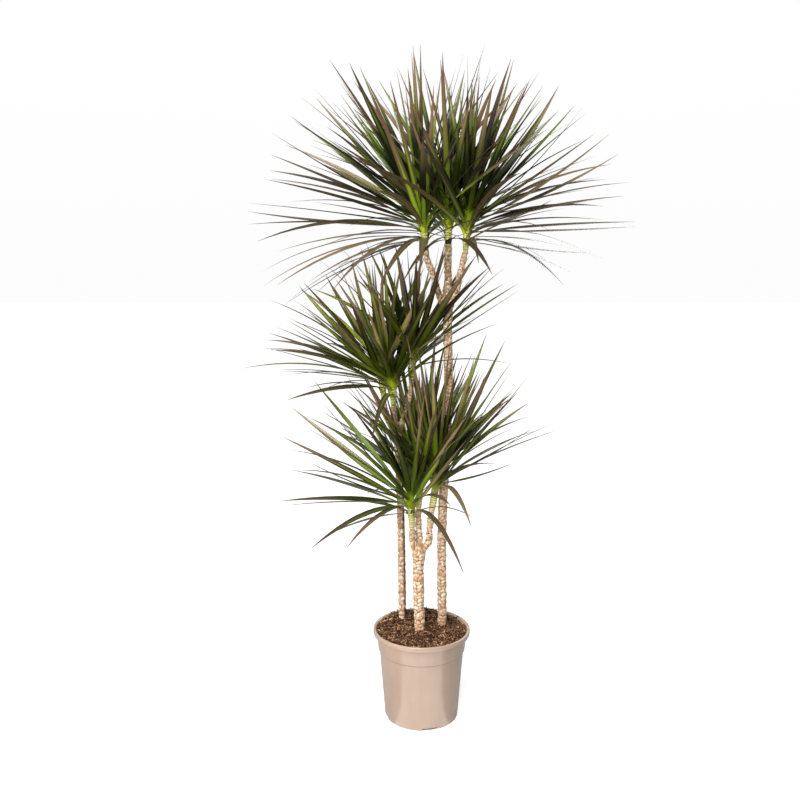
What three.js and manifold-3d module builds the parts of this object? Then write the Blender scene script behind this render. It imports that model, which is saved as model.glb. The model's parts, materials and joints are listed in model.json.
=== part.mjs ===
// A potted dragon tree: three woody canes in one plastic nursery pot. Each cane forks into three
// short branches, and each branch ends in a head of long, narrow, pointed leaves.
//
// Millimetres and degrees. The origin is the middle of the pot's underside, +X is to the right,
// +Y is to the back and +Z is up.

import * as THREE from 'three';
import { mergeVertices } from 'three/addons/utils/BufferGeometryUtils.js';
import Module from 'manifold-3d';

const wasm = await Module();
wasm.setup();

// ---------------------------------------------------------------- driving dimensions

// The pot: a thin shell with a rolled-over rim, a ledge below the top band, and a foot ring.
const potHeight = 223;
const potFacets = 36;
const potWall = 2.2;
const rimRadius = 118.5;
const rimDepth = 12;
const rimDraft = 1;
const rimEase = 2.6;
const bandTopRadius = 109.5;
const bandFootRadius = 105.6;
const ledgeHeight = 170;
const ledgeStep = 2.8;
const footRadius = 90;
const footRingWidth = 3.6;
const floorRise = 7;
const discRadius = 45;
const discSlope = 4;
const discWall = 1;
const notchCount = 4;
const notchWidth = 39.5;
const notchRise = 6;
const notchDepth = 16;
const notchAngle = -77.5;
const drainCount = 6;
const drainRadius = 4.5;
const drainCircle = 68;
const drainLength = 8;

// The soil: a fill that stops a little below the rim, with low clumps.
const soilTop = 213;
const soilGap = 0.4;
const soilRings = [103, 84, 62, 38, 16];
const rippleRise = 1.6;
const ripplePitch = 11;
const clumps = [
  { x: -35, y: 62, reach: 34, rise: 7 },
  { x: 20, y: 66, reach: 22, rise: 8 },
  { x: 62, y: -30, reach: 26, rise: 4 },
  { x: -60, y: -28, reach: 30, rise: 5 },
  { x: 8, y: -62, reach: 24, rise: 3 },
];

// The canes stand in plain holes of the soil.
const caneFoot = 96;
const holeFoot = 92;
const holeClearance = 1;

// Leaf scars: rings of the bark swell and shrink in turn, a half step round each time.
const scarRelief = 0.045;
const caneSides = 6;
const branchSides = 5;
const scarPitch = 16;
const branchPitch = 22;

// The trunk swells into a knee where its branches leave, and closes over it.
const kneeLength = 44;
const kneeSwell = 0.2;

// A head's stem tip: from the branch out to a collar below the lowest leaf, up to the bud and over it.
const tipSides = 5;
const collarRadius = 10;
const budRadius = 8;
const budLength = 14;

// Leaves: the blade is a flat top over a low keel, and its root is a narrow bar in the stem tip.
const straightShares = [0, 0.07, 0.34, 0.7, 1];
const bentShares = [0, 0.07, 0.28, 0.53, 0.78, 1];
const straightFall = 22;
const keelAtRoot = 1.9;
const keelAtTip = 1.1;
const leastWidth = 13.4;
const mostWidth = 16.4;
const rootHalf = 2.5;
const rootSink = 6;

// How a blade turns about its own line, and how far its line swings to one side.
const mostRoll = 55;
const mostSway = 5;

// The rule of a head: from the oldest leaves, low and far from the lean, to the youngest near it.
// Most leaves fall towards their tips, and the rest lift.
const goldenAngle = 137.508;
const oldestAngle = 100;
const youngestAngle = 8;
const shortestShare = 0.84;
const youngestShare = 0.78;
const liftingShare = 0.25;
const leastLift = 2;
const mostLift = 16;
const leastFall = 8;
const mostFall = 36;

// Clear space that a leaf keeps to the leaves of other heads, and to stems.
const leafGap = 0.5;
const stemGap = 1;

const point = (x, y, z) => new THREE.Vector3(x, y, z);

// Each cane is a trunk and its three branches, as centre lines with the radius at both ends.
const canes = [
  {
    name: 'cane_tall',
    trunk: {
      line: [point(52, 36, caneFoot), point(52, 36, 230), point(51, 36, 495), point(53, 36, 553),
        point(63, 36, 836), point(60, 36, 945), point(59, 36, 1016)],
      radii: [10.9, 9.8],
    },
    branches: [
      {
        line: [point(57, 35, 1000), point(43, 32, 1022), point(32, 29, 1053), point(22, 26, 1086),
          point(11, 23, 1111), point(5, 20, 1142)],
        radii: [7.4, 6.4],
      },
      {
        line: [point(59, 37, 1000), point(56, 40, 1029), point(60, 45, 1056), point(60, 53, 1097),
          point(61, 60, 1144)],
        radii: [9.2, 8],
      },
      {
        line: [point(62, 35, 999), point(70, 33, 1018), point(79, 31, 1040), point(85, 29, 1071),
          point(92, 27, 1100), point(99, 25, 1135)],
        radii: [7.4, 6.4],
      },
    ],
  },
  {
    name: 'cane_left',
    trunk: {
      line: [point(-47, 57, caneFoot), point(-47, 57, 230), point(-49, 57, 383),
        point(-52, 57, 518), point(-58, 57, 666), point(-60, 57, 706)],
      radii: [9.3, 8.4],
    },
    branches: [
      {
        line: [point(-59, 57, 694), point(-70, 61, 716), point(-84, 69, 742), point(-92, 74, 764),
          point(-94, 75, 784)],
        radii: [6.4, 5.9],
      },
      {
        line: [point(-60, 56, 694), point(-63, 50, 722), point(-68, 45, 748), point(-69, 42, 769)],
        radii: [6.6, 6],
      },
      {
        line: [point(-58, 58, 690), point(-48, 60, 722), point(-36, 63, 760), point(-27, 65, 800),
          point(-24, 65, 834)],
        radii: [6.6, 6],
      },
    ],
  },
  {
    name: 'cane_front',
    trunk: {
      line: [point(-5, 7, caneFoot), point(-5, 7, 230), point(-8, 7, 340), point(-7, 7, 431)],
      radii: [13.2, 12.6],
    },
    branches: [
      {
        line: [point(-8, 6, 409), point(-17, 4, 422), point(-23, 1, 444), point(-24, -3, 473)],
        radii: [7.8, 6.6],
      },
      {
        line: [point(-6, 8, 412), point(-6, 12, 440), point(-8, 17, 473), point(-8, 24, 514)],
        radii: [7.6, 6.6],
      },
      {
        line: [point(-4, 7, 408), point(6, 7, 423), point(16, 6, 437), point(18, 6, 462),
          point(21, 5, 500)],
        radii: [7.8, 6.6],
      },
    ],
  },
];

// Each head is a green stem tip on the end of a branch: the joint with the branch, the collar below
// the lowest leaf, and the bud. Leaves spread round the lean, out to 'spread' degrees from it. The
// long leaves stand out from the crown: each has the place of its tip and its fall from root to tip.
const heads = [
  {
    name: 'head_tall_left',
    joint: point(5, 20, 1142.4), collar: point(4, 19, 1154), bud: point(-1, 15, 1232), stalk: 6.4,
    lean: [-0.24, -0.06], spread: 84, leaves: 50, length: 430,
    longLeaves: [[-420, 120, 1250, 4], [-360, -220, 1180, 10], [-310, -290, 1260, 8], [-370, 170, 1370, 2],
      [-300, -260, 1350, -6], [-320, 160, 1460, 0], [-370, 260, 1140, 16], [-290, -310, 1060, 26],
      [-180, -360, 1050, 34], [-90, -380, 1060, 28], [-30, -380, 1090, 20], [-260, 200, 1510, -4],
      [-190, -320, 1410, 4], [-150, -260, 1480, -4]],
  },
  {
    name: 'head_tall_middle',
    joint: point(61, 60, 1144.4), collar: point(61, 60, 1156), bud: point(62, 62, 1236), stalk: 8,
    lean: [0.02, 0.1], spread: 80, leaves: 47, length: 420,
    longLeaves: [[-50, -340, 1060, 26], [120, -350, 1080, 28], [30, -220, 1510, 2], [-20, 180, 1610, -8],
      [100, -200, 1510, 0]],
  },
  {
    name: 'head_tall_right',
    joint: point(99, 25, 1135.4), collar: point(100, 25, 1147), bud: point(105, 21, 1224), stalk: 6.4,
    lean: [0.24, -0.05], spread: 84, leaves: 54, length: 430,
    longLeaves: [[400, -300, 1180, 4], [480, 160, 1370, -14], [340, -310, 1340, -16], [480, 260, 1120, 18],
      [450, 280, 1270, 8], [250, -380, 1060, 32], [290, -300, 1390, -18], [330, 160, 1530, -14],
      [220, -390, 1160, 24], [370, 200, 1490, -6], [190, -300, 1440, 4], [220, 160, 1590, -6]],
  },
  {
    name: 'head_left_outer',
    joint: point(-94, 75, 784.4), collar: point(-94, 75, 796), bud: point(-100, 80, 852), stalk: 5.9,
    lean: [-0.26, 0.12], spread: 80, leaves: 35, length: 365,
    longLeaves: [[-390, 330, 820, 14], [-390, 310, 940, 6], [-320, 280, 1050, -4], [-250, 280, 1080, -4],
      [-180, 260, 1120, -6]],
  },
  {
    name: 'head_left_front',
    joint: point(-69, 42, 769.4), collar: point(-69, 42, 781), bud: point(-72, 38, 836), stalk: 6,
    lean: [-0.3, -0.2], spread: 72, leaves: 33, length: 360,
    longLeaves: [[-340, -200, 930, 4], [-280, -280, 830, 18], [-290, -220, 990, 0], [-190, -130, 1110, 0],
      [-140, -60, 1140, 0], [-110, -300, 750, 40]],
  },
  {
    name: 'head_left_inner',
    joint: point(-24, 65, 834.4), collar: point(-24, 65, 846), bud: point(-21, 67, 900), stalk: 6,
    lean: [-0.04, 0.1], spread: 62, leaves: 33, length: 340,
    longLeaves: [[-100, 280, 1140, -4], [-10, -180, 1120, 4], [140, -200, 1100, -4], [260, 250, 1040, 0],
      [170, -240, 900, 18], [150, 370, 950, 10]],
  },
  {
    name: 'head_front_left',
    joint: point(-24, -3, 473.4), collar: point(-25, -7, 508), bud: point(-29, -13, 560), stalk: 6.6,
    lean: [-0.28, -0.2], spread: 72, leaves: 32, length: 375,
    longLeaves: [[-300, -280, 610, 8], [-340, 200, 570, 12], [-300, 240, 480, 20], [-230, -340, 540, 30],
      [-170, -360, 550, 30], [70, -400, 510, 44], [-320, 70, 760, 0], [-260, -220, 770, 6],
      [-350, 140, 670, 4], [-250, -50, 840, 0]],
  },
  {
    name: 'head_front_back',
    joint: point(-8, 24, 514.4), collar: point(-6, 28, 546), bud: point(-3, 35, 596), stalk: 6.6,
    lean: [-0.04, 0.26], spread: 66, leaves: 30, length: 360,
    longLeaves: [[-200, 220, 830, -4], [-220, 330, 660, 14], [100, 230, 880, 0], [-40, -140, 830, 4]],
  },
  {
    name: 'head_front_right',
    joint: point(21, 5, 500.4), collar: point(29, 6, 552), bud: point(38, 4, 606), stalk: 6.6,
    lean: [0.16, -0.1], spread: 64, leaves: 34, length: 350,
    longLeaves: [[230, -260, 770, 8], [270, 130, 830, -8], [270, 270, 700, 8], [150, -290, 700, 24],
      [90, -330, 580, 50], [150, -160, 900, -6], [200, 70, 920, 0]],
  },
];

// ---------------------------------------------------------------- small tools

const up = point(0, 0, 1);
const radians = THREE.MathUtils.degToRad;
const degrees = THREE.MathUtils.radToDeg;
const lerp = THREE.MathUtils.lerp;

// A closed three.js geometry as a solid that can be joined and cut.
function solid(geometry) {
  const bare = geometry.clone();
  bare.deleteAttribute('normal');
  bare.deleteAttribute('uv');
  const merged = mergeVertices(bare, 1e-4);
  return new wasm.Manifold(new wasm.Mesh({
    numProp: 3,
    vertProperties: new Float32Array(merged.attributes.position.array),
    triVerts: new Uint32Array(merged.index.array),
  }));
}

function geometryOf(body) {
  const mesh = body.getMesh();
  const geometry = new THREE.BufferGeometry();
  geometry.setAttribute('position', new THREE.BufferAttribute(new Float32Array(mesh.vertProperties), 3));
  geometry.setIndex(new THREE.BufferAttribute(new Uint32Array(mesh.triVerts), 1));
  geometry.computeVertexNormals();
  return geometry;
}

// Moves every vertex of an upright unit cylinder or cone. 'place' gets the height from 0 to 1, the
// row number and the number of the side, and gives the new position.
function bent(geometry, rows, sides, place) {
  const position = geometry.attributes.position;
  for (let i = 0; i < position.count; i += 1) {
    const height = position.getY(i) + 0.5;
    const outward = Math.hypot(position.getX(i), position.getZ(i));
    const turn = Math.atan2(position.getX(i), position.getZ(i)) / (2 * Math.PI);
    const side = (Math.round(turn * sides) + sides) % sides;
    const moved = place(height, Math.round(height * rows), side, outward);
    position.setXYZ(i, moved.x, moved.y, moved.z);
  }
  return geometry;
}

// Draws that are the same every time: one seeded stream of numbers from 0 to 1.
function drawFrom(seed) {
  let state = seed;
  return () => {
    state = (state * 1664525 + 1013904223) % 4294967296;
    return state / 4294967296;
  };
}

function direction(azimuth, elevation) {
  const a = radians(azimuth);
  const e = radians(elevation);
  return point(Math.cos(e) * Math.cos(a), Math.cos(e) * Math.sin(a), Math.sin(e));
}

// ---------------------------------------------------------------- pot and soil

function turned(profile) {
  const outline = profile.map(([radius, height]) => new THREE.Vector2(radius, height));
  const geometry = new THREE.LatheGeometry(outline, potFacets);
  geometry.rotateX(Math.PI / 2);
  return geometry;
}

// The wall's inner radius at a height, for the soil to follow. The wall is thicker at the ledge.
function innerRadius(height) {
  const waist = bandFootRadius - ledgeStep;
  if (height > ledgeHeight) {
    const share = (height - ledgeHeight) / (potHeight - rimDepth - ledgeHeight);
    return lerp(waist, bandTopRadius, share) - potWall;
  }
  return lerp(footRadius, waist, height / ledgeHeight) - potWall;
}

function makePot() {
  const rimFoot = potHeight - rimDepth;
  const floorTop = floorRise + potWall;
  const shell = solid(turned([
    [0, 0],
    [discRadius, 0],
    [discRadius + discSlope, floorRise],
    [footRadius - footRingWidth, floorRise],
    [footRadius - footRingWidth, 0],
    [footRadius, 0],
    [bandFootRadius - ledgeStep, ledgeHeight],
    [bandFootRadius, ledgeHeight + 0.4 * ledgeStep],
    [bandTopRadius, rimFoot],
    [bandTopRadius, potHeight - potWall],
    [rimRadius - potWall, potHeight - potWall],
    [rimRadius - potWall, rimFoot],
    [rimRadius - rimDraft, rimFoot],
    [rimRadius, potHeight - rimEase],
    [rimRadius - rimEase, potHeight],
    [bandTopRadius, potHeight],
    [bandTopRadius - potWall, potHeight - potWall],
    [bandTopRadius - potWall, rimFoot],
    [bandFootRadius - ledgeStep - potWall, ledgeHeight],
    [innerRadius(floorTop), floorTop],
    [discRadius + discSlope - discWall, floorTop],
    [discRadius - discWall, potWall],
    [0, potWall],
  ]));
  const cutters = [];
  for (let i = 0; i < notchCount; i += 1) {
    const notch = new THREE.BoxGeometry(notchDepth, notchWidth, 2 * notchRise);
    notch.translate(footRadius, 0, 0);
    notch.rotateZ(radians(notchAngle + (360 / notchCount) * i));
    cutters.push(solid(notch));
  }
  for (let i = 0; i < drainCount; i += 1) {
    const drain = new THREE.CylinderGeometry(drainRadius, drainRadius, drainLength, 6);
    drain.rotateX(Math.PI / 2);
    drain.translate(drainCircle, 0, floorRise + potWall / 2);
    drain.rotateZ(radians((360 / drainCount) * (i + 0.5)));
    cutters.push(solid(drain));
  }
  return shell.subtract(wasm.Manifold.union(cutters));
}

function soilHeight(x, y) {
  let height = soilTop + rippleRise * Math.sin(x / ripplePitch) * Math.cos(y / ripplePitch);
  for (const clump of clumps) {
    const away = Math.hypot(x - clump.x, y - clump.y) / clump.reach;
    height += clump.rise * Math.exp(-away * away);
  }
  return height;
}

function makeSoil(holes) {
  const floorTop = floorRise + potWall + soilGap;
  const fill = turned([
    [0, potWall + soilGap],
    [discRadius - discWall - soilGap, potWall + soilGap],
    [discRadius + discSlope - discWall - soilGap, floorTop],
    [innerRadius(floorTop) - soilGap, floorTop],
    [innerRadius(ledgeHeight) - soilGap, ledgeHeight],
    [innerRadius(soilTop - 4) - soilGap, soilTop - 4],
    ...soilRings.map((radius) => [radius, soilTop]),
    [0, soilTop],
  ]);
  const position = fill.attributes.position;
  for (let i = 0; i < position.count; i += 1) {
    if (position.getZ(i) > soilTop - 1) {
      position.setZ(i, soilHeight(position.getX(i), position.getY(i)));
    }
  }
  return solid(fill).subtract(wasm.Manifold.union(holes));
}

// ---------------------------------------------------------------- canes

// The swelling of a trunk near its upper end, as a factor on its radius.
function kneeFactor(toEnd) {
  return toEnd < kneeLength ? 1 + kneeSwell * Math.sin((Math.PI * toEnd) / kneeLength) : 1;
}

// A round stem along a smooth line. The rings turn half a side each time, and swell in turn. Both
// ends are cut level.
function stem({ line, radii, knee }, sides, pitch, relief) {
  const curve = new THREE.CatmullRomCurve3(line, false, 'centripetal');
  const rows = Math.max(2, Math.round(curve.getLength() / pitch));
  const rough = new THREE.CylinderGeometry(1, 1, 1, sides, rows);
  return bent(rough, rows, sides, (height, row, side, outward) => {
    const centre = curve.getPointAt(height);
    const atEnd = row === 0 || row === rows;
    const along = atEnd ? up : curve.getTangentAt(height);
    const right = point(1, 0, 0).addScaledVector(along, -along.x).normalize();
    const front = point().crossVectors(right, along);
    const angle = (2 * Math.PI * (side + 0.5 * row)) / sides;
    const scar = atEnd ? 1 : 1 + relief * (row % 2 ? 1 : -1);
    const swell = knee ? kneeFactor((1 - height) * curve.getLength()) : 1;
    const radius = outward * scar * swell * lerp(radii[0], radii[1], height);
    return centre
      .addScaledVector(right, radius * Math.sin(angle))
      .addScaledVector(front, radius * Math.cos(angle));
  });
}

function makeCane(cane) {
  const pieces = [solid(stem({ ...cane.trunk, knee: true }, caneSides, scarPitch, scarRelief))];
  for (const branch of cane.branches) {
    pieces.push(solid(stem(branch, branchSides, branchPitch, scarRelief)));
  }
  return wasm.Manifold.union(pieces);
}

// The hole is the cane's foot, a little wider, and open at the top of the soil.
function makeHole(cane) {
  const radius = cane.trunk.radii[0] * (1 + scarRelief) + holeClearance;
  const hole = new THREE.CylinderGeometry(radius, radius, potHeight - holeFoot, 9);
  hole.rotateX(Math.PI / 2);
  const at = cane.trunk.line[0];
  hole.translate(at.x, at.y, (potHeight + holeFoot) / 2);
  return solid(hole);
}

// ---------------------------------------------------------------- stem tips and leaves

function tipRings({ joint, collar, bud, stalk }) {
  const along = point().subVectors(bud, collar).normalize();
  return [
    { at: joint, radius: stalk },
    { at: collar, radius: collarRadius },
    { at: bud, radius: budRadius },
    { at: bud.clone().addScaledVector(along, budLength), radius: 0 },
  ];
}

function makeTip(head) {
  const rings = tipRings(head);
  const rows = rings.length - 1;
  return bent(new THREE.ConeGeometry(1, 1, tipSides, rows), rows, tipSides, (height, row, side) => {
    const angle = (2 * Math.PI * side) / tipSides;
    const { at, radius } = rings[row];
    return point(radius * Math.sin(angle), -radius * Math.cos(angle), 0).add(at);
  });
}

// The centre line of a blade bends once, from the direction at its root to that at its tip.
function leafCurve(leaf) {
  const start = direction(leaf.azimuth - leaf.sway / 2, leaf.elevation + leaf.fall / 2);
  const end = direction(leaf.azimuth + leaf.sway / 2, leaf.elevation - leaf.fall / 2);
  const middle = leaf.root.clone().addScaledVector(start, leaf.length / 2);
  const tip = middle.clone().addScaledVector(end, leaf.length / 2);
  return new THREE.QuadraticBezierCurve3(leaf.root, middle, tip);
}

// Half the blade's width: full by a quarter of the way, then drawn out to a long point.
function halfWidth(leaf, share) {
  return 0.5 * leaf.width * Math.min(1, 0.36 + 2.4 * share) * (1 - share ** 2.6) ** 0.9;
}

// A straight blade needs fewer stations than one that falls or lifts.
function sharesOf(leaf) {
  return Math.abs(leaf.fall) < straightFall ? straightShares : bentShares;
}

// The stations of a blade: where its centre is, which way its edges lie, and how wide it is.
function leafRibbon(leaf) {
  const curve = leafCurve(leaf);
  const level = direction(leaf.azimuth + 90, 0);
  const stations = [];
  for (const share of sharesOf(leaf)) {
    const along = curve.getTangent(share);
    const across = level.clone().addScaledVector(along, -level.dot(along)).normalize();
    across.applyAxisAngle(along, radians(leaf.roll));
    stations.push({
      at: curve.getPoint(share),
      across,
      under: point().crossVectors(across, along),
      half: halfWidth(leaf, share),
      keel: lerp(keelAtRoot, keelAtTip, share),
    });
  }
  // The root is a straight bar, so that it enters the stem tip squarely.
  stations[1].half = rootHalf;
  const { across, under, half, keel } = stations[1];
  Object.assign(stations[0], { across, under, half, keel });
  return stations;
}

function makeBlade(leaf) {
  const stations = leafRibbon(leaf);
  const rows = stations.length - 1;
  const cone = new THREE.ConeGeometry(1, 1, 3, rows);
  return bent(cone, rows, 3, (height, row, side, outward) => {
    const { at, across, under, half, keel } = stations[row];
    if (outward < 1e-6) {
      return at.clone();
    }
    const sideways = [0, half, -half][side];
    const lift = side === 0 ? keel : 0;
    return at.clone().addScaledVector(across, sideways).addScaledVector(under, lift);
  });
}

// The nearest points of two straight stretches, as shares of their lengths.
function nearest(p, q, r, s) {
  const d1 = point().subVectors(q, p);
  const d2 = point().subVectors(s, r);
  const between = point().subVectors(p, r);
  const a = d1.lengthSq();
  const e = d2.lengthSq();
  const f = d2.dot(between);
  const c = d1.dot(between);
  const b = d1.dot(d2);
  const spread = a * e - b * b;
  let first = spread > 1e-9 ? THREE.MathUtils.clamp((b * f - c * e) / spread, 0, 1) : 0;
  let second = (b * first + f) / e;
  if (second < 0) {
    second = 0;
    first = THREE.MathUtils.clamp(-c / a, 0, 1);
  } else if (second > 1) {
    second = 1;
    first = THREE.MathUtils.clamp((b - c) / a, 0, 1);
  }
  return [first, second];
}

// How far a ribbon or a round stem reaches in one direction, at a share of one of its stretches.
function reach(from, to, share, toward) {
  const half = lerp(from.half, to.half, share);
  if (!from.across) {
    return half;
  }
  const keel = lerp(from.keel, to.keel, share);
  return half * Math.abs(from.across.dot(toward)) + keel * Math.abs(from.under.dot(toward));
}

const farApart = 30;

function clears(ribbonA, ribbonB, gap) {
  for (let i = 0; i < ribbonA.length - 1; i += 1) {
    for (let j = 0; j < ribbonB.length - 1; j += 1) {
      const a = ribbonA[i];
      const b = ribbonB[j];
      if (a.at.distanceTo(b.at) < a.stretch + b.stretch + farApart) {
        const [s, t] = nearest(a.at, ribbonA[i + 1].at, b.at, ribbonB[j + 1].at);
        const onA = a.at.clone().lerp(ribbonA[i + 1].at, s);
        const onB = b.at.clone().lerp(ribbonB[j + 1].at, t);
        const apart = onA.distanceTo(onB);
        const toward = onB.sub(onA).normalize();
        const need = reach(a, ribbonA[i + 1], s, toward) + reach(b, ribbonB[j + 1], t, toward);
        if (apart < need + gap) {
          return false;
        }
      }
    }
  }
  return true;
}

function measured(ribbon) {
  for (let i = 0; i < ribbon.length; i += 1) {
    ribbon[i].stretch = i < ribbon.length - 1 ? ribbon[i].at.distanceTo(ribbon[i + 1].at) : 0;
  }
  return ribbon;
}

const stretchLength = 40;

// A branch or trunk as a chain of round stretches, and a stem tip as another.
function stemRibbon({ line, radii }) {
  const curve = new THREE.CatmullRomCurve3(line, false, 'centripetal');
  const pieces = Math.max(2, Math.round(curve.getLength() / stretchLength));
  const ribbon = [];
  for (let i = 0; i <= pieces; i += 1) {
    const share = i / pieces;
    const half = lerp(radii[0], radii[1], share) * (1 + 2 * scarRelief);
    ribbon.push({ at: curve.getPointAt(share), half });
  }
  return measured(ribbon);
}

function tipRibbon(head) {
  return measured(tipRings(head).map(({ at, radius }) => ({ at, half: radius })));
}

// Small turns that a leaf may make to miss its neighbours, the smallest first.
const nudges = [];
for (const sideways of [-28, -20, -14, -9, -5, -2, 0, 2, 5, 9, 14, 20, 28]) {
  for (const rise of [-14, -9, -5, -2, 0, 2, 5, 9, 14]) {
    nudges.push({ sideways, rise, cost: sideways * sideways + 1.5 * rise * rise });
  }
}
nudges.sort((a, b) => a.cost - b.cost || a.sideways - b.sideways || a.rise - b.rise);

// A leaf of a head, whose centre line leaves the stem tip at an azimuth and an elevation.
function newLeaf(head, azimuth, elevation, length, fall, draw) {
  return {
    head,
    azimuth,
    elevation,
    length,
    fall,
    sway: mostSway * (2 * draw() - 1),
    roll: mostRoll * (2 * draw() - 1),
    width: lerp(leastWidth, mostWidth, draw()),
  };
}

// Older leaves lie further from the lean and root lower on the stem tip, inside it.
function rooted(leaf) {
  const { head } = leaf;
  const lean = point(head.lean[0], head.lean[1], 1).normalize();
  const upright = direction(leaf.azimuth, leaf.elevation).dot(lean);
  const oldest = Math.cos(radians(oldestAngle));
  const age = THREE.MathUtils.clamp((upright - oldest) / (1 - oldest), 0, 1);
  const inside = lerp(collarRadius, budRadius, age) - rootSink;
  leaf.root = head.collar.clone().lerp(head.bud, lerp(0.04, 1, age))
    .addScaledVector(direction(leaf.azimuth, 0), inside);
  return leaf;
}

// A long leaf: its chord runs from its root to the place of its tip.
function longLeaf(head, [x, y, z, fall], draw) {
  const leaf = newLeaf(head, 0, 0, head.length, fall, draw);
  leaf.sway = 0;
  leaf.root = head.collar.clone().lerp(head.bud, 0.5);
  for (let pass = 0; pass < 3; pass += 1) {
    const chord = point(x, y, z).sub(leaf.root);
    leaf.length = chord.length() / Math.cos(radians(fall / 2));
    leaf.azimuth = degrees(Math.atan2(chord.y, chord.x));
    leaf.elevation = degrees(Math.asin(chord.z / chord.length()));
    rooted(leaf);
  }
  return leaf;
}

// The leaves that a head asks for: the long ones first, then the rest by the golden angle, evenly
// over the dome from the spread to nearly upright.
function wantedLeaves(head, number) {
  const draw = drawFrom(1000 + 77 * number);
  const leaves = head.longLeaves.map((place) => longLeaf(head, place, draw));
  const lean = point(head.lean[0], head.lean[1], 1).normalize();
  const tilt = new THREE.Quaternion().setFromUnitVectors(up, lean);
  const rest = head.leaves - head.longLeaves.length;
  const start = 360 * draw();
  for (let i = 0; i < rest; i += 1) {
    const age = (i + 0.5) / rest;
    const widest = Math.cos(radians(head.spread));
    const closest = Math.cos(radians(youngestAngle));
    const fromLean = degrees(Math.acos(lerp(widest, closest, age ** 0.85)));
    const way = direction(start + goldenAngle * i, 90 - fromLean).applyQuaternion(tilt);
    const elevation = degrees(Math.asin(way.z));
    const azimuth = degrees(Math.atan2(way.y, way.x));
    const length = head.length * lerp(shortestShare, 1, draw()) * lerp(1, youngestShare, age ** 2);
    const lifts = draw() > 1 - liftingShare;
    const strength = draw();
    const fall = lifts
      ? -lerp(leastLift, mostLift, strength)
      : lerp(leastFall, mostFall, strength) * Math.cos(radians(elevation));
    leaves.push(newLeaf(head, azimuth, elevation, length, fall, draw));
  }
  return leaves;
}

function growHeads() {
  const stems = canes.map((cane) => [cane.trunk, ...cane.branches].map(stemRibbon));
  const tips = heads.map(tipRibbon);
  const grown = heads.map(() => []);
  const wanted = heads.map((head, number) => wantedLeaves(head, number));
  const longest = Math.max(...wanted.map((leaves) => leaves.length));
  for (let turn = 0; turn < longest; turn += 1) {
    for (let number = 0; number < heads.length; number += 1) {
      const leaf = wanted[number][turn];
      if (leaf) {
        const placed = placeLeaf(leaf, number, { stems, tips, grown });
        if (placed) {
          grown[number].push(placed);
        }
      }
    }
  }
  return grown;
}

function placeLeaf(wish, number, { stems, tips, grown }) {
  for (const nudge of nudges) {
    const leaf = {
      ...wish,
      azimuth: wish.azimuth + nudge.sideways,
      elevation: wish.elevation + nudge.rise,
    };
    leaf.ribbon = measured(leafRibbon(rooted(leaf)));
    leaf.outer = leaf.ribbon.slice(1);
    if (isFree(leaf, number, stems, tips, grown)) {
      return leaf;
    }
  }
  return null;
}

function isFree(leaf, number, stems, tips, grown) {
  const freeOfHeads = heads.every((_, other) => {
    if (other === number) {
      return grown[other].every((sister) => clears(leaf.outer, sister.outer, 0));
    }
    return clears(leaf.ribbon, tips[other], stemGap)
      && grown[other].every((stranger) => clears(leaf.ribbon, stranger.ribbon, leafGap));
  });
  return freeOfHeads && stems.flat().every((ribbon) => clears(leaf.ribbon, ribbon, stemGap));
}

function makeHead(head, leaves) {
  const tip = solid(makeTip(head));
  return wasm.Manifold.union([tip, ...leaves.map((leaf) => solid(makeBlade(leaf)))]);
}

// ---------------------------------------------------------------- the assembled plant

const finishes = {
  plastic: { color: 0xd0b4a1, roughness: 0.42, metalness: 0 },
  bark: { color: 0xc9ab8a, roughness: 0.86, metalness: 0 },
  earth: { color: 0x6b4f37, roughness: 0.96, metalness: 0 },
  leaf: { color: 0x4c5a2a, roughness: 0.4, metalness: 0 },
};

const plant = new THREE.Group();

function add(name, body, finish) {
  const mesh = new THREE.Mesh(geometryOf(body), new THREE.MeshStandardMaterial(finishes[finish]));
  mesh.name = name;
  plant.add(mesh);
}

add('pot', makePot(), 'plastic');
add('soil', makeSoil(canes.map(makeHole)), 'earth');
for (const cane of canes) {
  add(cane.name, makeCane(cane), 'bark');
}
const grownLeaves = growHeads();
heads.forEach((head, number) => {
  add(head.name, makeHead(head, grownLeaves[number]), 'leaf');
});

export default plant;
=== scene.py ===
import json
import math

import bmesh
import bpy
import numpy as np
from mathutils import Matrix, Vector, kdtree, noise

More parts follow.
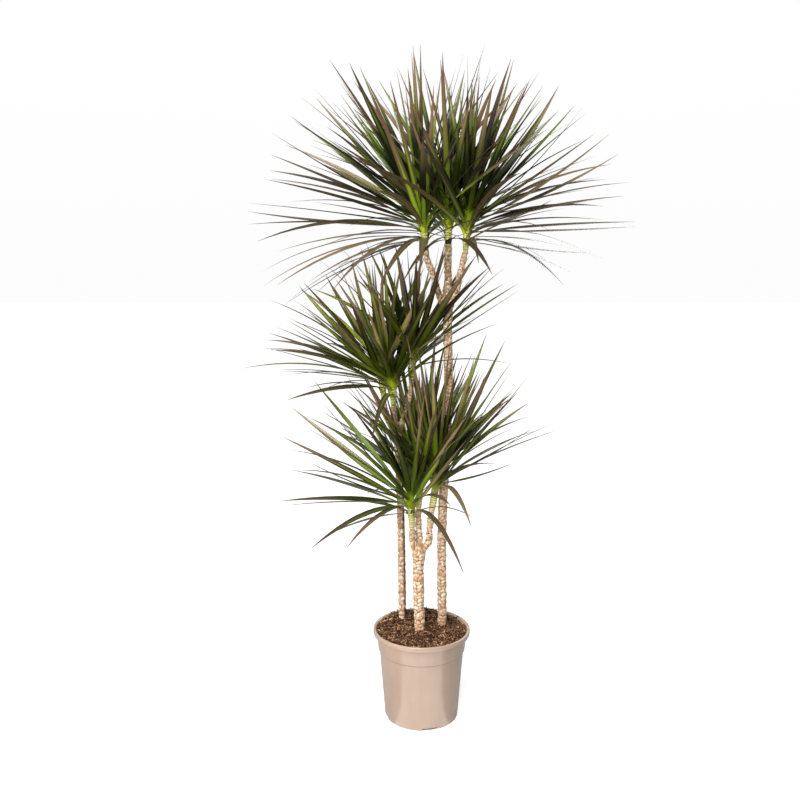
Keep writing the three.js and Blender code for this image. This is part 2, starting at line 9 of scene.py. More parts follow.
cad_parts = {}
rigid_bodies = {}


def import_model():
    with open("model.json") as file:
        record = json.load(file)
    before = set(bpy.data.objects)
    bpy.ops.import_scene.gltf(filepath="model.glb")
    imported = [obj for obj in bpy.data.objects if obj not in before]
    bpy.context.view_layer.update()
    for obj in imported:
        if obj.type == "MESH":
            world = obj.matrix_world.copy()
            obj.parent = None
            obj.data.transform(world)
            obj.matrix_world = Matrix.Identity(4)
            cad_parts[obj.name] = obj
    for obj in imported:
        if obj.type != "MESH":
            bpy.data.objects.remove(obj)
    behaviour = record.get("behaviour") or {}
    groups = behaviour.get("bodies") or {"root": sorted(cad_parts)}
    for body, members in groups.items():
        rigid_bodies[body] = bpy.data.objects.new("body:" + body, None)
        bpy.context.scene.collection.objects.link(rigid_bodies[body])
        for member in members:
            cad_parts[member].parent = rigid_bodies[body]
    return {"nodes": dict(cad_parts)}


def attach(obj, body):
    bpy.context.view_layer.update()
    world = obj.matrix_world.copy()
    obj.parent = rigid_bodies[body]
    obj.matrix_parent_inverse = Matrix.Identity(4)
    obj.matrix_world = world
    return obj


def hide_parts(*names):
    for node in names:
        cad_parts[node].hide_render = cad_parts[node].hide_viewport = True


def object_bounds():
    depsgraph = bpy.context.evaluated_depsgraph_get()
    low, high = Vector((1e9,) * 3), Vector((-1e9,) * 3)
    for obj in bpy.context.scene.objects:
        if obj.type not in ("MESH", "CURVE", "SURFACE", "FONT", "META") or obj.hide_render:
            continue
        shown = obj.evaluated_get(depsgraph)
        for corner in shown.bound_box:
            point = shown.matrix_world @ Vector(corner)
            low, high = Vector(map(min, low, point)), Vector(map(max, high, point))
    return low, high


# A potted dragon tree: three woody canes in one plastic nursery pot. Each cane forks into three
# short branches, and each branch ends in a head of long, narrow, pointed leaves. The frame is the
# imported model's: metres, the origin in the middle of the pot's underside, +Z up, +Y to the back.

for leftover in list(bpy.data.objects):
    bpy.data.objects.remove(leftover)
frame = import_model()
solid_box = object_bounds()
mm = 0.001


# -------- the pot
# A nursery pot, injection-moulded in beige-pink polypropylene. The thin wall tapers to a foot ring
# with four notches, a ledge runs round under the plain band, and the rim is rolled over outwards.


class Value:
    """A socket of a node tree that can be worked on as a number: 1 - mask, wear * 0.3."""

    def __init__(self, tree, socket):
        self.tree, self.socket = tree, socket

    def math(self, operation, *terms):
        return self.tree.node("ShaderNodeMath", {"operation": operation}, dict(enumerate(terms)))

    def __add__(self, other):
        return self.math("ADD", self, other)

    def __sub__(self, other):
        return self.math("SUBTRACT", self, other)

    def __mul__(self, other):
        return self.math("MULTIPLY", self, other)

    def __rsub__(self, other):
        return self.math("SUBTRACT", other, self)

    def __pow__(self, other):
        return self.math("POWER", self, other)

    __radd__, __rmul__ = __add__, __mul__

    def size(self):
        return self.math("ABSOLUTE", self)

    def ease(self, low, high):
        """0 below low and 1 above high, with a soft step between."""
        terms = {"Value": self, "From Min": low, "From Max": high}
        return self.tree.node("ShaderNodeMapRange", {"interpolation_type": "SMOOTHSTEP"}, terms)

    def part(self, axis):
        """One component of a vector: X, Y or Z."""
        return self.tree.node("ShaderNodeSeparateXYZ", sockets={0: self}, output=axis)

    def blend(self, first, second):
        """The first colour where this is 0, and the second where it is 1."""
        settings = {"data_type": "RGBA", "clamp_factor": True}
        return self.tree.node("ShaderNodeMix", settings, {0: self, 6: first, 7: second}, 2)


class Tree:
    """A node tree under construction, for a material or for geometry."""

    def __init__(self, nodes):
        self.nodes = nodes

    def node(self, kind, settings=None, sockets=None, output=0):
        """Adds a node, with its settings, then its sockets' values or links, and gives one output."""
        made = self.nodes.nodes.new(kind)
        for name, value in (settings or {}).items():
            setattr(made, name, value)
        for name, value in (sockets or {}).items():
            if isinstance(value, Value):
                self.nodes.links.new(value.socket, made.inputs[name])
            else:
                made.inputs[name].default_value = value
        return Value(self, made.outputs[output])


def paint(red, green, blue):
    """A colour from its display values, 0 to 255."""
    parts = [c / 255 for c in (red, green, blue)]
    return (*(c / 12.92 if c <= 0.04045 else ((c + 0.055) / 1.055) ** 2.4 for c in parts), 1)


class Finish(Tree):
    """A material: its node tree, and the one shader that its tree ends in."""

    def __init__(self, name, **uniform):
        self.material = bpy.data.materials.new(name)
        self.material.use_nodes = True
        super().__init__(self.material.node_tree)
        self.shader = self.nodes.nodes["Principled BSDF"]
        for socket, value in uniform.items():
            self.shader.inputs[socket.replace("_", " ")].default_value = value

    def here(self):
        return self.node("ShaderNodeTexCoord", output="Object")

    def told(self, name):
        """A number that the mesh carries at each point."""
        return self.node("ShaderNodeAttribute", {"attribute_name": name}, output="Fac")

    def grain(self, scale, detail, place=None, **sockets):
        terms = {"Vector": place or self.here(), "Scale": scale, "Detail": detail, **sockets}
        return self.node("ShaderNodeTexNoise", sockets=terms)

    def wear(self, **channels):
        """Links what varies over the surface to the shader."""
        for name, value in channels.items():
            self.nodes.links.new(value.socket, self.shader.inputs[name.replace("_", " ")])

    def bump(self, height, depth, strength):
        terms = {"Height": height, "Distance": depth, "Strength": strength}
        self.wear(Normal=self.node("ShaderNodeBump", sockets=terms))


def layered(colour, *coats):
    """A colour with coats over it. Each coat is how much of it shows, from 0 to 1, and its colour."""
    for cover, over in coats:
        colour = cover.blend(colour, over)
    return colour


def turned(profile, sides):
    """The points and faces of a profile, in metres, turned about the axis. It starts and ends there."""
    points, rings, faces = [], [], []
    for radius, height in profile:
        if radius < 1e-9:
            rings.append([len(points)] * sides)
            points.append((0, 0, height))
            continue
        rings.append(list(range(len(points), len(points) + sides)))
        for side in range(sides):
            angle = 2 * math.pi * side / sides
            points.append((radius * math.cos(angle), radius * math.sin(angle), height))
    for low, high in zip(rings, rings[1:]):
        for side in range(sides):
            beside = (side + 1) % sides
            corners = [low[side], low[beside], high[beside], high[side]]
            faces.append(list(dict.fromkeys(corners)))
    return np.array(points), faces


def piece(name, points, faces, finish, lines=()):
    mesh = bpy.data.meshes.new(name)
    mesh.from_pydata([tuple(map(float, p)) for p in points], lines, faces)
    mesh.materials.append(finish.material)
    made = bpy.data.objects.new(name, mesh)
    bpy.context.scene.collection.objects.link(made)
    return made


def settled(made, crease=None):
    """The same object with its modifiers' result as its plain mesh, shaded smooth but for creases."""
    bpy.context.view_layer.update()
    shape = bpy.data.meshes.new_from_object(made.evaluated_get(bpy.context.evaluated_depsgraph_get()))
    made.modifiers.clear()
    made.data = shape
    shape.shade_smooth()
    if crease is not None:
        shape.set_sharp_from_angle(angle=math.radians(crease))
    return made


def joined(parts):
    """Several (points, faces) as one."""
    points, faces = np.zeros((0, 3)), []
    for more_points, more_faces in parts:
        faces += [[len(points) + corner for corner in face] for face in more_faces]
        points = np.vstack([points, more_points])
    return points, faces


def cut(made, cutters):
    """Takes the cutters, each (points, faces), out of a closed piece."""
    tool = piece("cutter", *joined(cutters), moulded)
    taking = made.modifiers.new("cut", "BOOLEAN")
    taking.object, taking.operation, taking.solver = tool, "DIFFERENCE", "EXACT"
    taking.use_self = True
    settled(made)
    bpy.data.objects.remove(tool)


def eased(corners, steps=5):
    """A profile in metres from corners (radius, height, how far round the corner is eased), in mm."""
    profile = [corners[0][:2]]
    for before, corner, after in zip(corners, corners[1:], corners[2:]):
        at = Vector(corner[:2])
        back, on = Vector(before[:2]) - at, Vector(after[:2]) - at
        reach = min(corner[2], 0.45 * back.length, 0.45 * on.length)
        first, last = at + back.normalized() * reach, at + on.normalized() * reach
        for step in range(steps + 1):
            t = step / steps
            profile.append((1 - t) ** 2 * first + 2 * t * (1 - t) * at + t**2 * last)
    profile.append(corners[-1][:2])
    return [(radius * mm, height * mm) for radius, height in profile]


# Sizes in mm, and the place of the first notch in degrees.
pot_height, rim_radius, foot_radius = 223, 118.5, 90
notch_size, notch_count, first_notch = (16, 39.5, 12), 4, -77.5
drain_radius, drain_count, drain_circle = 4.5, 6, 68
pot_corners = [
    (0, 0, 0), (45, 0, 2), (49, 7, 2), (86.4, 7, 1.5), (86.4, 0, 0.8), (foot_radius, 0, 1.6),
    (102.8, 170, 1.2), (105.7, 171.2, 1), (109.3, 208.6, 1.2), (109.5, 214, 2),
    (115.8, 216.4, 2), (116.4, 211, 0.6), (117.4, 211, 0.8), (rim_radius, 217, 3),
    (117.6, pot_height, 2.4), (113.4, pot_height, 1.8), (111.4, 221, 1.5), (107.3, 213, 2),
    (103.5, 171.6, 1.5), (100.6, 170, 1.5), (88.5, 9.2, 4), (48, 9.2, 2), (44, 2.2, 2), (0, 2.2, 0),
]
moulded = Finish("moulded plastic", Specular_IOR_Level=0.35, Coat_Weight=0.9, Coat_Roughness=0.08)
shell = piece("pot_shell", *turned(eased(pot_corners), 160), moulded)


def block(size, out, turn):
    """A box of this size in mm, its centre this far out at floor level, turned about the pot's axis."""
    ends = np.array([(x, y, z) for x in (-0.5, 0.5) for y in (-0.5, 0.5) for z in (-0.5, 0.5)])
    x, y, z = (ends * size + (out, 0, 0)).T
    spun = (x * math.cos(turn) - y * math.sin(turn), x * math.sin(turn) + y * math.cos(turn), z)
    sides = [(0, 1, 3, 2), (4, 6, 7, 5), (0, 4, 5, 1), (2, 3, 7, 6), (0, 2, 6, 4), (1, 5, 7, 3)]
    return np.array(spun).T * mm, [list(side) for side in sides]


def drill(radius, low, high, x, y):
    """An upright round cutter, with all its measures in mm."""
    points, faces = turned([(0, low), (radius, low), (radius, high), (0, high)], 24)
    return (points + (x, y, 0)) * mm, faces


cutters = []
for k in range(notch_count):
    cutters.append(block(notch_size, foot_radius, math.radians(first_notch + 360 / notch_count * k)))
for k in range(drain_count):
    angle = 2 * math.pi * (k + 0.5) / drain_count
    x, y = drain_circle * math.cos(angle), drain_circle * math.sin(angle)
    cutters.append(drill(drain_radius, 5, 11, x, y))
cut(shell, cutters)
settled(shell, crease=38)

here = moulded.here()
height = here.part("Z")
cloud = moulded.grain(9, 4)
speck = moulded.grain(420, 2)
stretch = moulded.node("ShaderNodeMapping", sockets={"Vector": here, "Scale": (60, 60, 5)})
streak = moulded.grain(1, 4, stretch)
dust = (1 - height.ease(0.0, 0.05)) * streak.ease(0.35, 0.75)
body = layered(paint(170, 144, 125),
               ((cloud * 0.7 + streak * 0.3).ease(0.3, 0.7), paint(183, 155, 134)),
               (speck.ease(0.62, 0.75) * 0.35, paint(176, 146, 126)),
               (dust * 0.35, paint(164, 138, 118)))
# Painted shade: a dark line is painted into the two corners where shade falls, under the rim and under the
# ledge.
for low, high, darkness in ((208.8, 210.9, 0.75), (168.8, 170.9, 0.7)):
    painted_corner_shade = height.ease((low - 0.6) * mm, low * mm) * (1 - height.ease(high * mm, (high + 0.3) * mm))
    body = (painted_corner_shade * darkness).blend(body, paint(112, 86, 70))
moulded.wear(Base_Color=body, Roughness=0.38 + cloud * 0.1 + dust * 0.1)
moulded.bump(moulded.grain(700, 2) * 0.6 + streak * 0.4, 0.0002, 0.35)
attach(shell, "root")
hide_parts("pot")


# -------- the canes
# Three woody trunks, pale and corky, netted with the scars of shed leaves. Each was cut back once,
# and three branches grew out round the cut, where the callus makes a rusty knee.

# The trunk of each cane, then its branches: a line in mm, and the radius at both ends.
canes = {
    "cane_tall": [
        ([(52, 36, 96), (52, 36, 230), (51, 36, 495), (53, 36, 553), (63, 36, 836), (60, 36, 945),
          (59, 36, 1016)], 10.9, 9.8),
        ([(57, 35, 1000), (43, 32, 1022), (32, 29, 1053), (22, 26, 1086), (11, 23, 1111),
          (5, 20, 1142)], 7.4, 6.4),
        ([(59, 37, 1000), (56, 40, 1029), (60, 45, 1056), (60, 53, 1097), (61, 60, 1144)], 9.2, 8),
        ([(62, 35, 999), (70, 33, 1018), (79, 31, 1040), (85, 29, 1071), (92, 27, 1100),
          (99, 25, 1135)], 7.4, 6.4),
    ],
    "cane_left": [
        ([(-47, 57, 96), (-47, 57, 230), (-49, 57, 383), (-52, 57, 518), (-58, 57, 666),
          (-60, 57, 706)], 9.3, 8.4),
        ([(-59, 57, 694), (-70, 61, 716), (-84, 69, 742), (-92, 74, 764), (-94, 75, 784)], 6.4, 5.9),
        ([(-60, 56, 694), (-63, 50, 722), (-68, 45, 748), (-69, 42, 769)], 6.6, 6),
        ([(-58, 58, 690), (-48, 60, 722), (-36, 63, 760), (-27, 65, 800), (-24, 65, 834)], 6.6, 6),
    ],
    "cane_front": [
        ([(-5, 7, 96), (-5, 7, 230), (-8, 7, 340), (-7, 7, 431)], 11.0, 13.0),
        ([(-8, 6, 409), (-17, 4, 422), (-23, 1, 444), (-24, -3, 473)], 7.8, 6.6),
        ([(-6, 8, 412), (-6, 12, 440), (-8, 17, 473), (-8, 24, 514)], 7.6, 6.6),
        ([(-4, 7, 408), (6, 7, 423), (16, 6, 437), (18, 6, 462), (21, 5, 500)], 7.8, 6.6),
    ],
}
# How grey the bark has gone, how far its plates stand out, and how many of them go round.
bark_of = {"cane_tall": (0.3, 1.5, 6), "cane_left": (0.5, 1.4, 5), "cane_front": (0.0, 2.2, 6)}
# How far apart the rows of plates are, and the points of a cane's line. Over its last stretch each
# trunk swells by a share into the knee, and its end is rounded off.
plate_pitch, line_step = 8.5, 3
knee_length, knee_swell, end_rounding = 44, 0.2, (0.97, 0.88, 0.72, 0.45)


def smooth_line(points, step):
    """Points in metres, this many mm apart, along a smooth line through points in mm."""
    knots = np.array(points, float)
    at = np.r_[0, np.cumsum(np.linalg.norm(np.diff(knots, axis=0), axis=1))]
    slope = np.gradient(knots, at, axis=0)
    places = np.linspace(0, at[-1], max(3, round(at[-1] / step) + 1))
    k = np.clip(np.searchsorted(at, places, side="right") - 1, 0, len(at) - 2)
    span = (at[k + 1] - at[k])[:, None]
    u = (places - at[k])[:, None] / span
    ends = (2 * u**3 - 3 * u**2 + 1) * knots[k] + (3 * u**2 - 2 * u**3) * knots[k + 1]
    return (ends + span * ((u**3 - 2 * u**2 + u) * slope[k] + (u**3 - u**2) * slope[k + 1])) * mm


def unit(vectors):
    return vectors / np.linalg.norm(vectors, axis=-1, keepdims=True)


def tube(line, radii, sides):
    """The points and faces of a closed round tube along a line, with a radius at each of its points."""
    along = unit(np.gradient(line, axis=0))
    right = unit(np.array([1.0, 0, 0]) - along * along[:, :1])
    rear = np.cross(along, right)
    angles = 2 * np.pi * np.arange(sides) / sides
    spokes = np.cos(angles)[:, None] * right[:, None] + np.sin(angles)[:, None] * rear[:, None]
    rings = line[:, None] + np.asarray(radii)[:, None, None] * spokes
    points = np.vstack([rings.reshape(-1, 3), line[:1], line[-1:]])
    first, last = len(points) - 2, len(points) - 1
    faces = []
    for side in range(sides):
        beside = (side + 1) % sides
        faces.append([first, beside, side])
        for ring in range(0, first - sides, sides):
            faces.append([ring + side, ring + beside, ring + sides + beside, ring + sides + side])
        faces.append([last, first - sides + side, first - sides + beside])
    return points, faces


def drawn(*keys):
    """A number from 0 to 1 that looks random, and is the same for the same whole numbers."""
    weights = (12.9898, 78.233, 37.719, 93.989)
    return np.sin(sum(np.asarray(key) * weight for key, weight in zip(keys, weights))) * 43758.5453 % 1


def soft_step(value, low, high):
    """0 below low and 1 above high, with a soft step between."""
    share = np.clip((value - low) / (high - low), 0, 1)
    return share * share * (3 - 2 * share)


def tell(made, **numbers):
    """Puts numbers on the points of a piece, for its material to read."""
    for name, values in numbers.items():
        layer = made.data.attributes.new(name, "FLOAT", "POINT")
        layer.data.foreach_set("value", np.broadcast_to(values, len(made.data.vertices)).astype(np.float32))


def places_of(made, what="co"):
    """The points of a piece, or their normals, as rows of an array."""
    found = np.zeros(len(made.data.vertices) * 3, np.float32)
    made.data.vertices.foreach_get(what, found)
    return found.reshape(-1, 3).astype(float)


def scarred(made, stems, relief, around):
    """Raises the corky plates between the scars, row over row, each row half a plate round."""
    step = 1.5
    lines = [smooth_line(line, step) for line, _, _ in stems]
    centres = np.vstack(lines)
    stem = np.concatenate([np.full(len(line), k) for k, line in enumerate(lines)])
    run = np.concatenate([np.linspace(0, 1, len(line)) for line in lines])
    length = np.array([step * (len(line) - 1) for line in lines])
    finder = kdtree.KDTree(len(centres))
    for k, centre in enumerate(centres):
        finder.insert(centre, k)
    finder.balance()
    co, out = places_of(made), places_of(made, "normal")
    near = np.array([finder.find(c)[1] for c in co])
    stem, run = stem[near], run[near]
    warp = np.array([noise.noise(Vector(c * (45, 45, 30))) for c in co])
    along = run * length[stem]
    spoke = co - centres[near]
    angle, radius = np.arctan2(spoke[:, 1], spoke[:, 0]), np.linalg.norm(spoke[:, :2], axis=1) / mm
    plates = np.where(stem == 0, around, around - 2)
    warped = along + 6 * warp
    row = np.floor(warped / plate_pitch)
    # How near the nearest plate and the next one are, as shares of a plate; 9 stands for far away.
    first, second = np.full(len(co), 9.0), np.full(len(co), 9.0)
    tone, tilt = np.zeros(len(co)), np.zeros(len(co))
    for rows_up in (-1, 0, 1):
        for number in range(around):
            on = row + rows_up
            middle = 2 * np.pi * (number + 0.5 * (on % 2) + 0.7 * drawn(on, number, stem)) / plates
            middle_along = (on + 0.1 + 0.8 * drawn(number, on, stem)) * plate_pitch
            aside = (angle - middle + np.pi) % (2 * np.pi) - np.pi
            wide = np.pi * radius / plates
            sag = 0.45 * plate_pitch * (aside * radius / wide) ** 2
            rise_apart = (warped - middle_along + sag) / (0.55 * plate_pitch)
            apart = np.hypot(aside * radius / wide, rise_apart)
            apart = np.where(number < plates, apart, 9.0)
            closer = apart < first
            second = np.where(closer, first, np.minimum(second, apart))
            tone = np.where(closer, drawn(on, number, stem + 5), tone)
            tilt = np.where(closer, (middle_along - warped) / plate_pitch, tilt)
            first = np.where(closer, apart, first)
    plate = soft_step(second - first, 0.0, 0.42)
    rough = np.array([noise.fractal(Vector(c * 260), 0.9, 2.1, 3) for c in co])
    lumps = np.array([noise.noise(Vector(c * (70, 70, 95))) for c in co])
    lift = relief * (plate * (1 + 0.6 * tilt) - 0.55 + 0.7 * (tone - 0.5) + 0.7 * lumps) + 0.2 * rough
    fade = soft_step(length[stem] - along, 0, 4)
    co += out * (lift * fade * mm)[:, None]
    made.data.vertices.foreach_set("co", co.astype(np.float32).ravel())
    cut_height = stems[0][0][-1][2] * mm
    callus = np.exp(-(((co[:, 2] - cut_height + 6 * mm) / (13 * mm)) ** 2))
    callus = callus * soft_step(lumps - plate * 0.5, -0.8, 0.0)
    # Painted shade: one side of each trunk, the side away from the light, is marked. The material darkens
    # it only on the greyest bark, which is the left cane's.
    sooty = soft_step(np.cos(angle - 0.1), 0.25, 0.75) * (stem == 0)
    fresh = np.where(stem > 0, soft_step(along - length[stem], -26, 4), 0)
    # Painted shade: the lower part of each plate, below where it stands out most, is marked for darkening.
    under = soft_step(tilt, 0.0, 0.5)
    tell(made, plate=plate, tone=tone, callus=callus, fresh=fresh, sooty=sooty, under=under)


bark = Finish("corky bark", Roughness=0.85, Specular_IOR_Level=0.25)
plate, tone = bark.told("plate"), bark.told("tone")
mottle, fleck = bark.grain(55, 5), bark.grain(330, 3)
pale = (tone * 0.6 + mottle.ease(0.3, 0.7) * 0.4).blend(paint(208, 156, 108), paint(255, 246, 222))
groove = mottle.ease(0.35, 0.65).blend(paint(84, 48, 14), paint(156, 106, 48))
rust = mottle.ease(0.4, 0.6).blend(paint(110, 52, 22), paint(214, 142, 70))
skin = layered(groove,
               (plate.ease(0.05, 0.75), pale),
               # Painted shade: the lower part of each plate takes the groove colour, where a shadow would
               # fall.
               (bark.told("under") * mottle.ease(0.3, 0.6) * 0.75, groove),
               (fleck.ease(0.52, 0.7) * 0.4, paint(150, 100, 60)))
grey = bark.told("grey")
weathered = (bark.grain(14, 3).ease(0.35, 0.65) * 0.6 + 0.4).blend(skin, paint(156, 118, 100))
skin = layered(skin,
               (grey * (1 - plate * tone * 0.9), weathered),
               # Painted shade: the left cane's trunk is darkened on the side away from the light.
               (grey.ease(0.35, 0.5) * bark.told("sooty") * 0.9, paint(62, 46, 40)),
               (bark.told("callus") * (1 - plate * 0.7) * 0.85, rust),
               (bark.told("fresh") * 0.5, paint(196, 184, 112)))
bark.wear(Base_Color=skin, Roughness=0.9 - plate * 0.2)
bark.bump(fleck * 0.6 + mottle * 0.4, 0.0005, 0.5)

for name, stems in canes.items():
    tubes = []
    for number, (line, foot, end) in enumerate(stems):
        path = smooth_line(line, line_step)
        radii = np.linspace(foot, end, len(path))
        if number == 0:
            to_end = np.arange(len(path))[::-1] * line_step
            swell = np.where(to_end < knee_length, np.sin(np.pi * to_end / knee_length), 0)
            radii = radii * (1 + knee_swell * swell)
            radii[-len(end_rounding):] *= end_rounding
        tubes.append(tube(path, radii * mm, 20))
    cane = piece(name + "_bark", *joined(tubes), bark)
    grown = cane.modifiers.new("grown together", "REMESH")
    grown.mode, grown.voxel_size = "VOXEL", 1.25 * mm
    healed = cane.modifiers.new("healed", "SMOOTH")
    healed.factor, healed.iterations = 0.6, 6
    settled(cane)
    greyness, relief, around = bark_of[name]
    scarred(cane, stems, relief, around)
    tell(cane, grey=greyness)
    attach(cane, "root")
    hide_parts(name)


# -------- the soil
# Potting mix of composted bark and peat, filled to a finger under the rim and a little mounded.
# Coarse chips and pale fibres lie loose on it, and the canes stand in it.

soil_top, top_radius = 213, 106.4
# Low clumps of the mix: where each one is, how far it reaches and how high it rises.
clumps = [(-35, 66, 30, 8), (16, 86, 26, 13), (-66, 58, 26, 8), (62, -30, 26, 4), (-60, -28, 30, 5),
          (8, -62, 24, 3)]
# Where each cane stands, and the radius of its foot.
cane_feet = [(*line[0][:2], foot) for (line, foot, _), *_ in canes.values()]
fill_profile = [(0, 2.6), (43.6, 2.6), (47.6, 9.6), (88.2, 9.6), (100, 169), (102.6, 173), (106.5, 209.5),
                *((radius, soil_top) for radius in np.linspace(top_radius, 3, 46)), (0, soil_top)]
earth = Finish("potting mix", Roughness=0.95, Specular_IOR_Level=0.2)
points, faces = turned([(r * mm, z * mm) for r, z in fill_profile], 150)
on_top = points[:, 2] > (soil_top - 1) * mm
x, y = points[on_top, 0] / mm, points[on_top, 1] / mm
heave = 1.6 * np.sin(x / 11) * np.cos(y / 11)
for clump_x, clump_y, reach, rise in clumps:
    heave += rise * np.exp(-(np.hypot(x - clump_x, y - clump_y) / reach) ** 2)
lumps = [2.6 * noise.fractal(Vector((a, b, 0)) / 9, 0.8, 2.0, 4) for a, b in zip(x, y)]
from_axis = np.hypot(x, y)
edge = soft_step(107 - from_axis, 0, 8)
heave += np.array(lumps) * (0.4 + 0.6 * edge) + 5 * soft_step(from_axis, 50, 98) - 1.5 * (1 - edge)
points[on_top, 2] += np.minimum(heave, 8 + 0.9 * (top_radius - from_axis)) * mm
soil = piece("soil_fill", points, faces, earth)
# The holes that the canes stand in. The bark is sunk a little into the mix.
bark_sunk, hole_floor, hole_top = 0.9, 95, 260
cut(soil, [drill(foot - bark_sunk, hole_floor, hole_top, x, y) for x, y, foot in cane_feet])
settled(soil, crease=60)

crumb, strand = earth.grain(300, 5), earth.grain(90, 4, Distortion=1.5)
tint = earth.told("tint")
dark = crumb.ease(0.3, 0.72).blend(paint(22, 11, 7), paint(82, 44, 27))
dark = (strand.ease(0.55, 0.75) * 0.4).blend(dark, paint(104, 68, 40))
chip = (tint**2.9).blend(paint(60, 29, 16), paint(248, 198, 148))
chip = (crumb.ease(0.4, 0.6) * 0.5).blend(chip, paint(36, 20, 11))
earth.wear(Base_Color=earth.told("loose").blend(dark, chip))
earth.bump(crumb, 0.0012, 0.8)
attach(soil, "root")
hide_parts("soil")


def inlets(name, **sizes):
    """A geometry tree with named inputs, and its inputs as values."""
    nodes = bpy.data.node_groups.new(name, "GeometryNodeTree")
    nodes.interface.new_socket("Geometry", in_out="INPUT", socket_type="NodeSocketGeometry")
    for label, value in sizes.items():
        kind = "NodeSocketInt" if isinstance(value, int) else "NodeSocketFloat"
        socket = nodes.interface.new_socket(label, in_out="INPUT", socket_type=kind)
        socket.default_value = value
    nodes.interface.new_socket("Geometry", in_out="OUTPUT", socket_type="NodeSocketGeometry")
    tree = Tree(nodes)
    source = nodes.nodes.new("NodeGroupInput")
    return tree, {socket.name: Value(tree, socket) for socket in source.outputs if socket.name}


def outlet(tree, shape, finish):
    """Ends a geometry tree: its shape, in this finish."""
    done = tree.node("GeometryNodeSetMaterial", sockets={"Geometry": shape, "Material": finish.material})
    out = tree.nodes.nodes.new("NodeGroupOutput")
    tree.nodes.links.new(done.socket, out.inputs[0])
    return tree


def grown_by(made, tree):
    """Runs a geometry tree on a piece, and keeps the result."""
    step = made.modifiers.new(tree.nodes.name, "NODES")
    step.node_group = tree.nodes
    settled(made)


def loose_on_top():
    """Bark chips, fibres and crumbs scattered over whatever surface the tree is given."""
    tree, size = inlets("loose mix", chips=16000.0, fibres=72000.0, crumbs=20000.0, chip=0.011,
                        fibre=0.019, crumb=0.0045, seed=7)
    # Each kind: its shape, how many to a square metre, its length, how far it is tipped, its palest tint.
    kinds = [
        (tree.node("GeometryNodeMeshCube", sockets={"Size": (1, 0.4, 0.22), "Vertices X": 3}),
         size["chips"], size["chip"], (-0.5, 0.5), 0.7),
        (tree.node("GeometryNodeMeshCylinder", {"fill_type": "TRIANGLE_FAN"},
                   {"Vertices": 3, "Side Segments": 5, "Radius": 0.042, "Depth": 1.0}),
         size["fibres"], size["fibre"], (-1.7, -0.95), 1.0),
        (tree.node("GeometryNodeMeshIcoSphere", sockets={"Radius": 0.5, "Subdivisions": 1}),
         size["crumbs"], size["crumb"], (-3.0, 3.0), 0.7),
    ]

    def chance(seed, low, high):
        terms = {2: low, 3: high, "Seed": seed}
        return tree.node("FunctionNodeRandomValue", sockets=terms, output=1)

    join = tree.nodes.nodes.new("GeometryNodeJoinGeometry")
    for order, (shape, density, length, (tip_low, tip_high), palest) in enumerate(kinds):
        seed = size["seed"] + order
        scatter = tree.node("GeometryNodeDistributePointsOnFaces", sockets={
            "Mesh": size["Geometry"], "Density": density, "Seed": seed})
        turn = tree.node("FunctionNodeRandomValue", {"data_type": "FLOAT_VECTOR"}, {
            0: (tip_low, -0.5, 0), 1: (tip_high, 0.5, 6.283), "Seed": seed + 10})
        grow = chance(seed + 20, 0.45, 1.25)
        laid = tree.node("GeometryNodeInstanceOnPoints", sockets={
            "Points": scatter, "Instance": shape,
            "Rotation": tree.node("FunctionNodeEulerToRotation", sockets={0: turn}),
            "Scale": grow * length})
        shaded = tree.node("GeometryNodeStoreNamedAttribute", {"domain": "INSTANCE"}, {
            "Geometry": laid, "Name": "tint", "Value": chance(seed + 30, 0.0, palest)})
        tree.nodes.links.new(shaded.socket, join.inputs[0])
    loose = tree.node("GeometryNodeRealizeInstances", sockets={0: Value(tree, join.outputs[0])})
    wobble = tree.node("ShaderNodeTexNoise", sockets={"Scale": 190.0, "Detail": 2.0}, output=1)
    wobble = tree.node("ShaderNodeVectorMath", {"operation": "SUBTRACT"}, {0: wobble, 1: (0.5, 0.5, 0.5)})
    wobble = tree.node("ShaderNodeVectorMath", {"operation": "SCALE"}, {0: wobble, "Scale": 0.0075})
    loose = tree.node("GeometryNodeSetPosition", sockets={"Geometry": loose, "Offset": wobble})
    return outlet(tree, loose, earth)


# The mix lies on the open ground: the top of the fill, a little in from the wall and off the canes.
open_ground = []
for face in soil.data.polygons:
    x, y, z = face.center / mm
    clear = all(math.hypot(x - foot_x, y - foot_y) > foot + 2.5 for foot_x, foot_y, foot in cane_feet)
    if face.normal.z > 0.2 and z > soil_top - 6 and math.hypot(x, y) < top_radius - 0.9 and clear:
        corners = [tuple(soil.data.vertices[v].co) for v in face.vertices]
        open_ground.append((corners, [range(len(corners))]))
loose = piece("soil_loose_mix", *joined(open_ground), earth)
grown_by(loose, loose_on_top())
loose.data.set_sharp_from_angle(angle=math.radians(30))
tell(loose, loose=1.0)
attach(loose, "root")


# -------- the stem tips
# Above each branch the stem is still green: a short neck, ringed by the scars of the last leaves to
# fall, which runs up inside the leaf bases to the bud.

